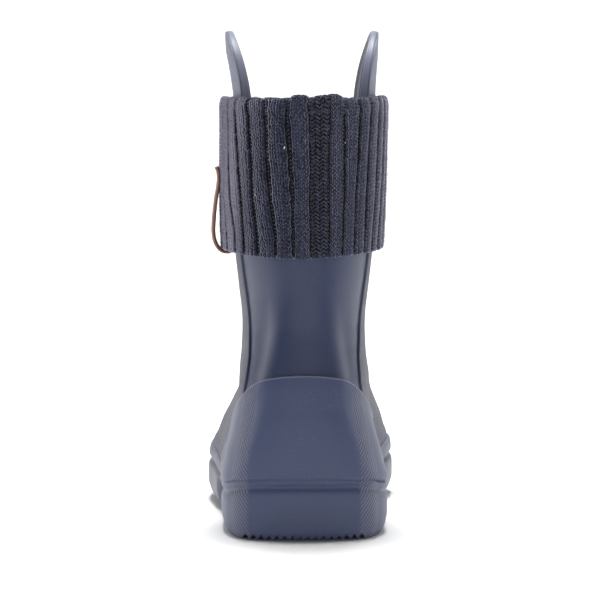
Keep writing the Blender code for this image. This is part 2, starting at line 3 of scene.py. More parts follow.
import bmesh
import bpy
import numpy as np
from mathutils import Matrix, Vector


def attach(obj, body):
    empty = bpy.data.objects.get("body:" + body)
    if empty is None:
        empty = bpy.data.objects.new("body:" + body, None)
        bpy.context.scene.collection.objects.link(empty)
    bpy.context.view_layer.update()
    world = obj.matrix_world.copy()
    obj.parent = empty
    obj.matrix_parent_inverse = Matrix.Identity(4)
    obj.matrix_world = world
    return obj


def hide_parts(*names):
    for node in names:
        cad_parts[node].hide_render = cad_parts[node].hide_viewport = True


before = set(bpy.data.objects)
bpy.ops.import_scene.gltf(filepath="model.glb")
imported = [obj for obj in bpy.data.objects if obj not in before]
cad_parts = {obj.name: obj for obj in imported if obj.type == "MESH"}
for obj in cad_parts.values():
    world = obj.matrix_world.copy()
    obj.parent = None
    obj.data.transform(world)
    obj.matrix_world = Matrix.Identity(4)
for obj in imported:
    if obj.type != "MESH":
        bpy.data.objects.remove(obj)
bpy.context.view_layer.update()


# ---------------------------------------------------------------- Studio
# A white paper sweep in a pale room with five soft lamps: one overhead, one on the paper behind, one at
# each side and a low wide one in front. The camera stands behind the boot and looks slightly down.
scene = bpy.context.scene
scene.view_settings.view_transform = "Standard"
scene.world = bpy.data.worlds.new("white room")
scene.world.use_nodes = True
room = scene.world.node_tree.nodes["Background"]
room.inputs["Color"].default_value = (1.0, 1.0, 1.0, 1)
room.inputs["Strength"].default_value = 0.22

floor_end, radius, steps = 1.0, 0.8, 12
sweep_line = [(-6.0, 0.0), (floor_end, 0.0)]
for step in range(1, steps + 1):
    turn = math.pi / 2 * step / steps
    sweep_line.append((floor_end + radius * math.sin(turn), radius - radius * math.cos(turn)))
sweep_line.append((floor_end + radius, 3.0))
sweep_mesh = bpy.data.meshes.new("paper sweep")
sweep_mesh.from_pydata(
    [(x, y, z - 0.0002) for y, z in sweep_line for x in (-9.0, 9.0)],
    [],
    [(2 * k, 2 * k + 1, 2 * k + 3, 2 * k + 2) for k in range(len(sweep_line) - 1)],
)
sweep_mesh.shade_smooth()
sweep = bpy.data.objects.new("paper sweep", sweep_mesh)
scene.collection.objects.link(sweep)
paper = bpy.data.materials.new("white paper")
paper.use_nodes = True
for key, value in (("Base Color", (0.93, 0.93, 0.93, 1)), ("Roughness", 0.9), ("Specular IOR Level", 0.1)):
    paper.node_tree.nodes["Principled BSDF"].inputs[key].default_value = value
sweep_mesh.materials.append(paper)

shaft_foot = (0.0, 0.0, 0.08)
for name, place, target, width, depth, power in (
    ("light overhead", (0.0, 0.16, 1.40), shaft_foot, 0.40, 0.50, 27.0),
    ("light on the paper", (0.0, 0.95, 1.10), (0.0, 1.6, 0.20), 2.0, 0.4, 8.0),
    ("light left", (-1.8, 0.35, 0.50), shaft_foot, 0.7, 0.7, 9.0),
    ("light right", (1.8, 0.35, 0.50), shaft_foot, 0.7, 0.7, 8.0),
    ("light front", (0.0, -1.9, 0.40), shaft_foot, 3.4, 0.6, 10.5),
):
    lamp = bpy.data.objects.new(name, bpy.data.lights.new(name, "AREA"))
    lamp.data.shape = "RECTANGLE"
    lamp.data.size, lamp.data.size_y = width, depth
    lamp.data.energy = power
    lamp.location = place
    lamp.rotation_euler = (Vector(target) - lamp.location).to_track_quat("-Z", "Y").to_euler()
    scene.collection.objects.link(lamp)

camera = bpy.data.objects.new("camera", bpy.data.cameras.new("camera"))
camera.data.sensor_width = 36
camera.data.lens = 169.08
camera.location = (-0.0317, -1.1641, 0.171)
camera.rotation_euler = Vector((0.026, 1, -0.0724)).to_track_quat("-Z", "Y").to_euler()
scene.collection.objects.link(camera)
scene.camera = camera


# ---------------------------------------------------------------- Upper
# Foot and shaft are one injection-moulded shell of foamed plastic over a last. The mould gives it a
# smooth back panel sunk in grained sides, and a heel counter that stands proud with a thin rim.
SOLE_LENGTH = 0.188
BALL_WIDTH = 0.078
COLLAR_HEIGHT = 0.165
WALL = 0.0026
SHAFT_MIDDLE = 0.015
# the heel's rear end, on the floor
ROW = np.array((-0.0022, -0.09414, 0.0))

# rise, back, front, share of the foot's outline, share of the shaft's outline, shaft's half width
LEVELS = (
    (0.000, 0.012, 0.986, 1.00, 0.00, 0.330),
    (0.012, 0.012, 0.986, 1.00, 0.00, 0.330),
    (0.036, 0.010, 0.992, 0.87, 0.00, 0.326),
    (0.079, 0.009, 0.984, 0.69, 0.00, 0.324),
    (0.122, 0.010, 0.957, 0.45, 0.00, 0.322),
    (0.158, 0.012, 0.912, 0.27, 0.00, 0.320),
    (0.190, 0.016, 0.848, 0.12, 0.00, 0.319),
    (0.235, 0.021, 0.777, 0.00, 0.00, 0.318),
    (0.285, 0.029, 0.702, 0.00, 0.20, 0.316),
    (0.346, 0.040, 0.625, 0.00, 0.50, 0.306),
    (0.420, 0.051, 0.564, 0.00, 0.80, 0.310),
    (0.520, 0.056, 0.527, 0.00, 1.00, 0.331),
    (0.654, 0.055, 0.513, 0.00, 1.00, 0.356),
    (0.823, 0.049, 0.515, 0.00, 1.00, 0.368),
    (1.000, 0.043, 0.521, 0.00, 1.00, 0.375),
    (1.240, 0.036, 0.532, 0.00, 1.00, 0.392),
)
# along, foot outer, foot inner, instep outer, instep inner
OUTLINES = (
    (0.03, 0.790, 0.820, 0.530, 0.530),
    (0.08, 0.660, 0.690, 0.485, 0.485),
    (0.15, 0.553, 0.590, 0.430, 0.430),
    (0.22, 0.485, 0.514, 0.385, 0.394),
    (0.38, 0.405, 0.395, 0.325, 0.352),
    (0.55, 0.441, 0.400, 0.315, 0.360),
    (0.68, 0.510, 0.490, 0.335, 0.395),
    (0.80, 0.553, 0.562, 0.359, 0.412),
    (0.92, 0.571, 0.571, 0.367, 0.401),
)
# along, middle, ledge, groove, floor, bulge, inset
STATIONS = (
    (0.00, 0.000, 0.0246, 0.0214, 0.0125, 0.0003, 0.0010),
    (0.05, 0.000, 0.0234, 0.0200, 0.0122, 0.0003, 0.0012),
    (0.13, 0.000, 0.0206, 0.0166, 0.0118, 0.0004, 0.0022),
    (0.30, 0.000, 0.0196, 0.0150, 0.0112, 0.0006, 0.0034),
    (0.45, 0.005, 0.0206, 0.0155, 0.0100, 0.0012, 0.0040),
    (0.62, 0.019, 0.0227, 0.0173, 0.0080, 0.0021, 0.0050),
    (0.75, 0.037, 0.0244, 0.0178, 0.0085, 0.0024, 0.0054),
    (0.88, 0.062, 0.0265, 0.0200, 0.0110, 0.0019, 0.0050),
    (1.00, 0.077, 0.0290, 0.0230, 0.0145, 0.0020, 0.0052),
)
# share of the outline, rise of the counter's upper edge
COUNTER_EDGE = (
    (0.00, 0.286),
    (0.04, 0.274),
    (0.08, 0.255),
    (0.14, 0.229),
    (0.20, 0.201),
    (0.26, 0.171),
    (0.33, 0.130),
    (0.40, 0.075),
    (0.46, 0.030),
)
# rise, share of the outline at the back panel's edges
PANEL_EDGE = (
    (0.15, 0.125),
    (0.25, 0.132),
    (0.30, 0.152),
    (0.334, 0.179),
    (0.382, 0.228),
    (0.43, 0.262),
    (0.49, 0.290),
    (0.60, 0.312),
    (1.00, 0.320),
)


def smooth(table, at, column=1):
    """A table's column at places in its first column, on a smooth curve with no overshoot."""
    table = np.array(table, float)
    x, v = table[:, 0], table[:, column]
    slope = np.diff(v) / np.diff(x)
    both = slope[:-1] * slope[1:]
    total = np.where(both > 0, slope[:-1] + slope[1:], 1.0)
    tangent = np.concatenate([slope[:1], np.where(both > 0, 2 * both / total, 0.0), slope[-1:]])
    at = np.clip(at, x[0], x[-1])
    k = np.clip(np.searchsorted(x, at, "right") - 1, 0, len(x) - 2)
    step = x[k + 1] - x[k]
    t = (at - x[k]) / step
    low = v[k] * (1 + 2 * t) * (1 - t) ** 2 + step * tangent[k] * t * (1 - t) ** 2
    return low + v[k + 1] * t * t * (3 - 2 * t) - step * tangent[k + 1] * t * t * (1 - t)


def ramp(at, start, end):
    """0 before start, 1 after end and a soft slope between."""
    t = np.clip((at - start) / (end - start), 0, 1)
    return t * t * (3 - 2 * t)


def section(angle, rise):
    """Points of the outer surface. The angle runs from the heel's back round the outer side to the toe."""
    angle, rise = np.broadcast_arrays(np.asarray(angle, float), np.asarray(rise, float))
    along = (1 - np.cos(angle)) / 2
    back, front, foot, shaft, width = (smooth(LEVELS, rise, k) for k in range(1, 6))
    share = back + along * (front - back)
    outer = np.sin(angle) >= 0
    foot_full = np.where(outer, smooth(OUTLINES, along, 1), smooth(OUTLINES, along, 2))
    instep_full = np.where(outer, smooth(OUTLINES, along, 3), smooth(OUTLINES, along, 4))
    full = foot * foot_full + (1 - foot - shaft) * instep_full + shaft * width
    middle = (1 - shaft) * smooth(STATIONS, share, 1) + shaft * SHAFT_MIDDLE
    ledge = smooth(STATIONS, share, 2)
    x = (middle - np.sin(angle) * full) * BALL_WIDTH
    return np.stack([x, share * SOLE_LENGTH, ledge + rise * (COLLAR_HEIGHT - ledge)], -1)


def unit(v):
    """Directions of length one."""
    return v / np.maximum(np.linalg.norm(v, axis=-1, keepdims=True), 1e-12)


def outward(angle, rise):
    """The level direction straight out from the outline."""
    run = section(np.asarray(angle) + 1e-4, rise) - section(np.asarray(angle) - 1e-4, rise)
    return unit(np.stack([-run[..., 1], run[..., 0], 0 * run[..., 0]], -1))


def skin(angle, rise, out=0.0):
    """A point a distance out from the surface, square to its outline seen from above."""
    return section(angle, rise) + outward(angle, rise) * np.asarray(out)[..., None]


def facing(angle, rise):
    """The direction square to the surface."""
    round_ = section(angle + 1e-4, rise) - section(angle - 1e-4, rise)
    up = section(angle, np.asarray(rise) + 1e-4) - section(angle, np.asarray(rise) - 1e-4)
    normal = unit(np.cross(round_, up))
    turned = (normal * outward(angle, rise)).sum(-1, keepdims=True)
    return np.where(turned < 0, -normal, normal)


def closed(name, points, faces, attributes=None):
    """An object whose faces all point outward."""
    mesh = bpy.data.meshes.new(name)
    mesh.from_pydata(points, [], faces)
    work = bmesh.new()
    work.from_mesh(mesh)
    bmesh.ops.recalc_face_normals(work, faces=work.faces)
    work.to_mesh(mesh)
    work.free()
    for label, values in (attributes or {}).items():
        mesh.attributes.new(label, "FLOAT", "POINT").data.foreach_set("value", values.ravel())
    mesh.shade_smooth()
    obj = bpy.data.objects.new(name, mesh)
    scene.collection.objects.link(obj)
    return obj


def piece(name, grid, ends=None, attributes=None):
    """A piece from rows of points that join round. ends is None where the last row meets the first."""
    rows, columns = grid.shape[:2]
    index = np.arange(rows * columns).reshape(rows, columns)
    index = np.concatenate([index, index[:, :1]], 1)
    if ends is None:
        index = np.concatenate([index, index[:1]], 0)
    faces = np.stack([index[:-1, :-1], index[:-1, 1:], index[1:, 1:], index[1:, :-1]], -1)
    faces = faces.reshape(-1, 4).tolist()
    if ends == "caps":
        faces += [list(range(columns)), [(rows - 1) * columns + k for k in range(columns)]]
    if ends == "across":
        for base in (0, (rows - 1) * columns):
            faces.append([base, base + 1, base + columns - 1])
            for k in range(1, columns // 2 - 1):
                faces.append([base + k, base + k + 1, base + columns - k - 1, base + columns - k])
            faces.append([base + columns // 2 - 1, base + columns // 2, base + columns // 2 + 1])
    return closed(name, (grid.reshape(-1, 3) + ROW).tolist(), faces, attributes)


class Wire:
    """A shader socket that takes part in sums."""

    def __init__(self, maker, socket):
        self.maker, self.socket = maker, socket

    def sum(self, operation, *others):
        node = self.maker.node("ShaderNodeMath", {"operation": operation}, dict(enumerate((self, *others))))
        return node[0]

    def __add__(self, other):
        return self.sum("ADD", other)

    def __sub__(self, other):
        return self.sum("SUBTRACT", other)

    def __mul__(self, other):
        return self.sum("MULTIPLY", other)

    def __truediv__(self, other):
        return self.sum("DIVIDE", other)

    def __rsub__(self, other):
        return self.maker.number(other).sum("SUBTRACT", self)

    __radd__ = __add__
    __rmul__ = __mul__

    def ramp(self, start, end):
        """0 before start, 1 after end and a soft slope between."""
        values = {"Value": self, "From Min": start, "From Max": end}
        return self.maker.node("ShaderNodeMapRange", {"interpolation_type": "SMOOTHSTEP"}, values)[0]

    def band(self, start, full, fade, end):
        """1 from full to fade, and 0 before start and after end."""
        return self.ramp(start, full) * (1 - self.ramp(fade, end))


class Finish:
    """A material made in steps: its nodes, sums and colours."""

    def __init__(self, name, roughness, **constants):
        self.material = bpy.data.materials.new(name)
        self.material.use_nodes = True
        self.tree = self.material.node_tree
        self.shader = self.tree.nodes["Principled BSDF"]
        self.set("Roughness", roughness)
        for key, value in constants.items():
            self.set(key.replace("_", " "), value)
        self.place = self.node("ShaderNodeTexCoord")[3]

    def node(self, kind, settings=None, values=None):
        node = self.tree.nodes.new(kind)
        for key, value in (settings or {}).items():
            setattr(node, key, value)
        for key, value in (values or {}).items():
            if isinstance(value, Wire):
                self.tree.links.new(value.socket, node.inputs[key])
            else:
                node.inputs[key].default_value = value
        return [Wire(self, socket) for socket in node.outputs]

    def number(self, value):
        return self.node("ShaderNodeMath", {"operation": "ADD"}, {0: value, 1: 0.0})[0]

    def set(self, key, value):
        if isinstance(value, Wire):
            self.tree.links.new(value.socket, self.shader.inputs[key])
        else:
            self.shader.inputs[key].default_value = value

    def axes(self):
        return self.node("ShaderNodeSeparateXYZ", None, {0: self.place})

    def noise(self, scale, detail=2.0, place=None):
        return self.node(
            "ShaderNodeTexNoise", None, {"Vector": place or self.place, "Scale": scale, "Detail": detail}
        )[0]

    def attribute(self, name):
        return self.node("ShaderNodeAttribute", {"attribute_name": name})[2]

    def mix(self, factor, first, second):
        node = self.node("ShaderNodeMix", {"data_type": "RGBA"}, {0: factor})[2].socket.node
        for key, value in ((6, first), (7, second)):
            if isinstance(value, Wire):
                self.tree.links.new(value.socket, node.inputs[key])
            else:
                node.inputs[key].default_value = (*value, 1)
        return Wire(self, node.outputs[2])

    def bump(self, height, distance):
        self.set("Normal", self.node("ShaderNodeBump", None, {"Height": height, "Distance": distance})[0])


eva = Finish("foamed plastic, slate blue", 0.46, Specular_IOR_Level=0.42)
x, y, z = eva.axes()
grain_and_sheen, gloss, rim_highlight, crease_shade = (eva.attribute(name) for name in ("grain_and_sheen", "panel", "rim", "crease"))
# the moulded hatch on both corners of the heel, as a way round the heel and a height
heel_radius, hatch_up, hatch_round = 0.033, 0.00190, 0.00170
around = ((x + 0.0022).sum("ARCTAN2", (-0.060 - y)) * heel_radius).sum("ABSOLUTE")
hatched = around.band(0.0216, 0.0236, 0.0320, 0.0365) * (1 - z.ramp(0.056, 0.062))
falling = ((z / hatch_up - around / hatch_round) * (2 * math.pi)).sum("SINE")
rising = ((z / hatch_up + around / hatch_round) * (2 * math.pi)).sum("SINE") * z.ramp(0.026, 0.042)
lines = (falling + rising) * hatched
fine = eva.noise(1300.0, 2.0)
speck = eva.noise(2600.0, 1.0)
soft = eva.noise(38.0, 2.0)
# short level scratches low down, a rubbed place at the rand and pale flecks high on the counter
streaks = eva.node("ShaderNodeMapping", None, {"Vector": eva.place, "Scale": (180.0, 180.0, 2600.0)})[0]
scratches = eva.noise(1.0, 1.0, streaks).ramp(0.70, 0.80) * eva.noise(90.0, 1.0).ramp(0.52, 0.64)
rubbed = x.band(-0.004, 0.000, 0.008, 0.011) * z.band(0.0215, 0.0228, 0.0258, 0.0268)
rubbed = rubbed * (1 - y.ramp(-0.080, -0.070)) * eva.noise(2100.0, 2.0).ramp(0.60, 0.68)
flecks = x.band(-0.012, -0.006, 0.008, 0.016) * z.band(0.049, 0.053, 0.057, 0.061)
flecks = flecks * eva.noise(1900.0, 1.0).ramp(0.66, 0.72)
scuffs = scratches * (1 - z.ramp(0.055, 0.070)) + rubbed * 1.1 + flecks * 0.9
# greyer towards the front, outside the grained sides
greyer_forward = y.ramp(-0.050, 0.000) * (1 - grain_and_sheen)
# slate blue, darker in the panel and greyer towards the front; the grained sides painted paler and greyer as
# painted sheen of grazing light on their grain; painted highlights on the rims, painted light and shade on
# the hatch, pale scuffs, and painted shade, almost black, in the creases
eva.bump(lines * 0.6 + fine * (0.15 + grain_and_sheen * 1.3) + soft * 0.5 + scuffs * 0.3, 0.00010)
colour = eva.mix(gloss, (0.036, 0.050, 0.116), (0.018, 0.028, 0.078))
# the grained sides painted paler and greyer: painted sheen of grazing light on their coarse grain
colour = eva.mix(grain_and_sheen, colour, (0.058, 0.061, 0.088))
colour = eva.mix((soft - 0.5) * 0.5 + 0.12, colour, (0.050, 0.058, 0.100))
colour = eva.mix((speck - 0.44) * 0.25 + speck.ramp(0.50, 0.64) * grain_and_sheen * 0.55, colour, (0.170, 0.172, 0.198))
colour = eva.mix(greyer_forward * 0.50, colour, (0.092, 0.086, 0.100))
# painted light and shade on the hatch: paler crests, darker grooves, and the hatched corners paler as a whole
colour = eva.mix(lines * 0.36 + hatched * 0.16, colour, (0.170, 0.168, 0.215))
colour = eva.mix(lines * -0.34, colour, (0.014, 0.018, 0.050))
# painted highlight along the counter's rim bead, painted light over the pull loops, and pale scuffs in the
# same colour
colour = eva.mix(rim_highlight * 0.9 + scuffs * 0.4, colour, (0.190, 0.205, 0.270))
# painted shade, almost black, in the creases at the panel's edges and in the pull loops' channel and inner
# edge
colour = eva.mix(crease_shade * 0.95, colour, (0.007, 0.006, 0.016))
eva.set("Base Color", colour)
eva.set("Roughness", 0.44 + grain_and_sheen * 0.16 + soft * 0.06 - gloss * 0.06)

# columns close up beside the panel's edges, and rows beside the counter's rim
near_edge = np.array((
    -0.03, -0.02, -0.0133, -0.01, -0.0067, -0.0033, 0, 0.0033, 0.0067, 0.0133, 0.02, 0.03,
))
half = np.concatenate([np.linspace(0, 0.957, 38), 1 + near_edge, np.linspace(1.043, math.pi, 120)])
turns = np.concatenate([half, -half[-2:0:-1]])
height = COLLAR_HEIGHT - 0.022
by_rim_mm = np.array((-2.4, -1.8, -1.4, -1.1, -0.8, -0.5, -0.25, -0.1, 0, 0.1, 0.25, 0.45, 0.7, 1.1))
by_rim = by_rim_mm / 1000 / height
low_rows = np.linspace(0, 1, 31)[:-1, None]
high_rows = np.linspace(0, 1, 110)[:, None]
first, last = len(low_rows), len(low_rows) + len(by_rim)
rise = np.repeat(np.linspace(0, 1, last + len(high_rows))[:, None], len(turns), 1)
for _ in range(8):
    edge = np.arccos(1 - 2 * smooth(PANEL_EDGE, rise))
    reach = np.abs(turns)[None, :]
    angle = np.where(reach < 1, reach * edge, edge + (reach - 1) / (math.pi - 1) * (math.pi - edge))
    rim = smooth(COUNTER_EDGE, (1 - np.cos(angle)) / 2)
    under, over = rim - 0.0029 / height, rim + 0.0016 / height
    rise = np.concatenate([
        low_rows * under[:first],
        rim[first:last] + by_rim[:, None],
        over[last:] + high_rows * (1 - over[last:]),
    ])
angle = angle * np.sign(np.where(turns == 0, 1, turns))
share = (1 - np.cos(angle)) / 2
# millimetres below the counter's rim and inside the panel's edge
below = (rim - rise) * height * 1000
inside = (edge - np.abs(angle)) * 33
counter = ramp(below, -0.12, 0.30) * (1 - ramp(share, 0.42, 0.49))
bead = np.exp(-(((below - 0.50) / 0.28) ** 2)) * (1 - ramp(share, 0.40, 0.47))
free = (1 - counter) * (1 - ramp(rise, 0.88, 0.90))
panel = ramp(inside, -0.08, 0.26) * free
# a narrow groove at the panel's edge, whose mask also carries painted shade
crease = np.exp(-(((inside - 0.30) / 0.18) ** 2)) * free
lift = 0.0007 * counter + 0.00040 * bead - 0.0008 * panel - 0.00025 * crease
outer_face = section(angle, rise) + facing(angle, rise) * lift[..., None]

top_angle = angle[-1]
rim_rows = [
    skin(top_angle, 1.0, out) + np.array((0, 0, drop))
    for out, drop in (
        (-0.00012, 0.0), (-0.0005, 0.00015), (-0.0013, 0.00018), (-0.0021, 0.00015), (-0.0025, 0.0),
    )
]
inner_rise = np.repeat(np.linspace(0.995, 0.0, 44)[:, None], len(turns), 1)
inner_angle = np.repeat(top_angle[None, :], len(inner_rise), 0)
inner_face = section(inner_angle, inner_rise) - facing(inner_angle, inner_rise) * WALL
shell = np.concatenate([outer_face, np.array(rim_rows), inner_face])
shell[0, :, 2] -= 0.0004
shell[-1, :, 2] = shell[0, :, 2]
# the grained sides: a real coarse grain, and a mask for their painted sheen
grain_and_sheen_fields = (1 - ramp(inside, -0.3, 0.2)) * (1 - counter)
blank = np.zeros((len(rim_rows) + len(inner_face), len(turns)))
# the rim's painted highlight is weaker at the middle of the back
corners = 0.35 + 0.65 * ramp(share, 0.015, 0.05)
marks = {"grain_and_sheen": grain_and_sheen_fields, "panel": panel, "rim": bead * corners, "crease": crease}
upper = piece("moulded_upper", shell, attributes={k: np.concatenate([v, blank]) for k, v in marks.items()})
upper.data.materials.append(eva.material)
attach(upper, "root")
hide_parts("upper")


# ---------------------------------------------------------------- Pull loops
# Two arches of the same plastic, moulded in one with the collar, to pull the boot on by. Each is a band
# with soft edges and a channel run along its rim.
def side_angle(y, rise, side):
    """The outline's angle at a place along the length, on the outer (1) or inner (-1) side."""
    back, front = (smooth(LEVELS, rise, k) * SOLE_LENGTH for k in (1, 2))
    along = np.clip((y - back) / (front - back), 0, 1)
    return side * np.arccos(1 - 2 * along)


def on_shaft(y, z, side, out):
    """A point on the shaft's side, a distance out from its surface."""
    y, z, out = np.broadcast_arrays(y, z, out)
    ledge = smooth(STATIONS, y / SOLE_LENGTH, 2)
    rise = (z - ledge) / (COLLAR_HEIGHT - ledge)
    point = skin(side_angle(y, rise, side), rise, out)
    point[..., 2] = z
    return point


def rounded(corners, radius, joined=True):
    """An outline with its corners rounded. Each corner is an array that starts with its place."""
    count, line = len(corners), []
    for k in range(count):
        here = corners[k]
        if not joined and k in (0, count - 1):
            line.append(here)
            continue
        ends = []
        for other in (corners[k - 1], corners[(k + 1) % count]):
            far = np.linalg.norm((other - here)[..., :2], axis=-1, keepdims=True)
            ends.append(here + (other - here) * np.minimum(radius / np.maximum(far, 1e-9), 0.45))
        line += [ends[0], (ends[0] + 2 * here + ends[1]) / 4, ends[1]]
    return line


def divided(outline, parts):
    """A closed outline with each of its sides in equal parts."""
    sides = zip(outline, np.roll(outline, -1, 0))
    return np.concatenate([np.linspace(a, b, parts + 1)[:-1] for a, b in sides])


LOOP_RISE = 0.032
LOOP_SPAN = 0.040
LOOP_BAND = 0.009
LOOP_CENTRE = 0.282 * SOLE_LENGTH


def pull_loop(name, side, lean):
    """One arch, whose legs run down into the collar."""
    half_span, spring = LOOP_SPAN / 2, COLLAR_HEIGHT + LOOP_RISE * 0.22
    crown = COLLAR_HEIGHT + LOOP_RISE - LOOP_BAND / 2 - spring
    bend = np.linspace(0, math.pi, 49)
    arch = np.stack([LOOP_CENTRE - half_span * np.cos(bend), spring + crown * np.sin(bend)], 1)
    leg_up = np.linspace(COLLAR_HEIGHT - 0.007, spring, 9)[:-1]
    legs = [np.stack([np.full(8, LOOP_CENTRE + end * half_span), leg_up], 1) for end in (-1, 1)]
    path = np.concatenate([legs[0], arch, legs[1][::-1]])
    run = unit(np.gradient(path, axis=0))
    across = np.stack([-run[:, 1], run[:, 0]], 1)
    tall = np.clip((path[:, 1] - COLLAR_HEIGHT) / LOOP_RISE, 0, 1)
    deep = 0.0050 - 0.0018 * tall
    bow = 0.0028 * tall * (1 - tall)
    rows, pale, dark = [], [], []
    for (along, up), way, t, d, bowed in zip(path, across, tall, deep, bow):
        h = LOOP_BAND / 2
        cut = 0.0008 * (1 - t) ** 0.5
        corners = [
            (-h, 0.0), (h, 0.0), (h, -0.13 * d), (h - cut, -0.19 * d), (h - 0.5 * cut, -0.30 * d),
            (h - 0.3 * cut, -0.84 * d), (h, -0.92 * d), (h - 0.5 * cut, -d), (-h, -d),
        ]
        outline = divided(np.array(rounded([np.array(c) for c in corners], 0.0006 + 0.0005 * t)), 4)
        inwards = -outline[:, 1] / d
        rim_face = (outline[:, 0] > 0.3 * h) * 1.0
        u = outline[:, 0] - 0.0013 * t**4 * np.abs(2 * inwards - 1) ** 3 * rim_face
        rows.append(on_shaft(along + u * way[0], up + u * way[1], side, outline[:, 1] + lean * t + bowed))
        # painted shade in the channel and on the inner edge, and a thin painted highlight between them; the
        # whole band is painted pale as painted light, a little less on the flat face and towards the crown
        channel = np.exp(-(((inwards - 0.19) / 0.05) ** 2)) * (1 - 0.7 * t**3)
        inner_edge = ramp(inwards, 0.88, 0.93) * (1 - t**4)
        light_line = np.exp(-(((inwards - 0.84) / 0.035) ** 2))
        dark.append(rim_face * (0.8 * channel + 0.7 * inner_edge))
        flat_face = 0.15 * ramp(inwards, 0.22, 0.30)
        pale.append((1.0 - rim_face * (flat_face - 0.7 * light_line)) * (1 - 0.35 * t**2))
    marks = {"rim": np.array(pale), "crease": np.array(dark)}
    loop = piece(name, np.array(rows), ends="caps", attributes=marks)
    loop.data.materials.append(eva.material)
    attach(loop, "root")


pull_loop("outer_pull_loop", 1, 0.0006)
pull_loop("inner_pull_loop", -1, -0.0012)


# ---------------------------------------------------------------- Outsole
# Moulded on under the shell from the same plastic: a tray with a soft rand, a groove and a shoulder, a
# wall that draws in to the tread, wavy slots below and a row of teeth along the heel's rear edge.
def ground(y):
    """The underside's height: flat under heel and ball, raised in the waist and at the toe."""
    along = y / SOLE_LENGTH
    spring = np.maximum(0, along - 0.77) / 0.23
    bevel = np.maximum(0, 0.035 - along) / 0.035
    return 0.005 * waist(y) + 0.009 * spring**2 + 0.0013 * bevel


def waist(y):
    """1 under the arch and 0 under heel and ball."""
    return smooth(((0.32, 0.0), (0.37, 1.0), (0.44, 1.0), (0.49, 0.0)), y / SOLE_LENGTH)


sole_angles = np.linspace(0, 2 * math.pi, 721)[:-1]
sole_y = section(sole_angles, 0.0)[:, 1]
ledge, groove, floor, bulge, inset = (smooth(STATIONS, sole_y / SOLE_LENGTH, k) for k in range(2, 7))
below, wall_top, band = ground(sole_y), groove - 0.0026, ledge - groove
# distance out, height and how far the waist pinches it in, from the tread up and down into the tray
steps = (
    (bulge - inset - 0.003, below, 1.0),
    (bulge - inset, below, 1.0),
    (bulge - inset * 0.3, below + 0.003, 0.9),
    (bulge, np.minimum(below + 0.0075, wall_top - 0.001), 0.8),
    (bulge, wall_top - 0.0004, 0.5),
    (bulge - 0.0003, groove - 0.0015, 0.0),
    (bulge * 0.7 - 0.0010, groove - 0.0003, 0.0),
    (bulge * 0.7 - 0.0009, groove + 0.0004, 0.0),
    (bulge * 0.8 - 0.0001, groove + 0.0014, 0.0),
    (bulge * 0.85, groove + 0.45 * band, 0.0),
    (bulge * 0.6, ledge + 0.0001, 0.0),
    (-0.0001 + 0 * bulge, ledge + 0.0002, 0.0),
    (-0.0038 + 0 * bulge, ledge, 0.0),
    (-0.0046 + 0 * bulge, floor + 0.0012, 0.0),
    (-0.0054 + 0 * bulge, floor, 0.0),
)
profile = [np.stack(np.broadcast_arrays(out, z, pinch), -1) for out, z, pinch in steps]
rings = []
for place in rounded(profile, 0.0008, joined=False):
    ring = skin(sole_angles, 0.0, place[:, 0] - place[:, 2] * 0.004 * waist(sole_y))
    ring[:, 2] = place[:, 1]
    rings.append(ring)
outsole = piece("moulded_outsole", np.array(rings), ends="across")
outsole.data.materials.append(eva.material)


def prisms(name, outlines):
    """One mesh of straight bars. Each outline is a list of points and the shift that carries it."""
    points, faces = [], []
    for outline, shift in outlines:
        base, count = len(points), len(outline)
        points += [Vector(p) + Vector(ROW) for p in outline]
        points += [Vector(p) + Vector(shift) + Vector(ROW) for p in outline]
        faces += [[base + k for k in range(count)], [base + 2 * count - 1 - k for k in range(count)]]
        for k in range(count):
            after = (k + 1) % count
            faces.append([base + k, base + after, base + count + after, base + count + k])
    return closed(name, [tuple(p) for p in points], faces)


# wavy slots across the tread: spacing, half width, depth and distance from the outline; the wave's length
# and steps; where the cutter starts under the floor
SLOT_PITCH, SLOT_HALF, SLOT_DEEP, SLOT_EDGE = 0.0088, 0.0012, 0.002, 0.007
WAVE_LENGTH, WAVE_STEPS, SLOT_START = 0.006, 6, -0.003
slots = []
for first, last in ((0.100, 0.31), (0.515, 0.93)):
    for y_slot in np.arange(first * SOLE_LENGTH, last * SOLE_LENGTH, SLOT_PITCH):
        near, far = (float(skin(side_angle(y_slot, 0.0, side), 0.0, 0.0)[0]) for side in (1, -1))
        near, far = near + SLOT_EDGE, far - SLOT_EDGE
        count = max(2, round((far - near) / WAVE_LENGTH)) * WAVE_STEPS
        line = [
            (near + (far - near) * k / count, y_slot - 0.001 * math.cos(math.pi * k / WAVE_STEPS))
            for k in range(count + 1)
        ]
        top = float(max(ground(y_slot - 0.0024), ground(y_slot))) + SLOT_DEEP
        outline = [(x, v - SLOT_HALF, SLOT_START) for x, v in line]
        outline += [(x, v + SLOT_HALF, SLOT_START) for x, v in reversed(line)]
        slots.append((outline, (0, 0, top - SLOT_START)))

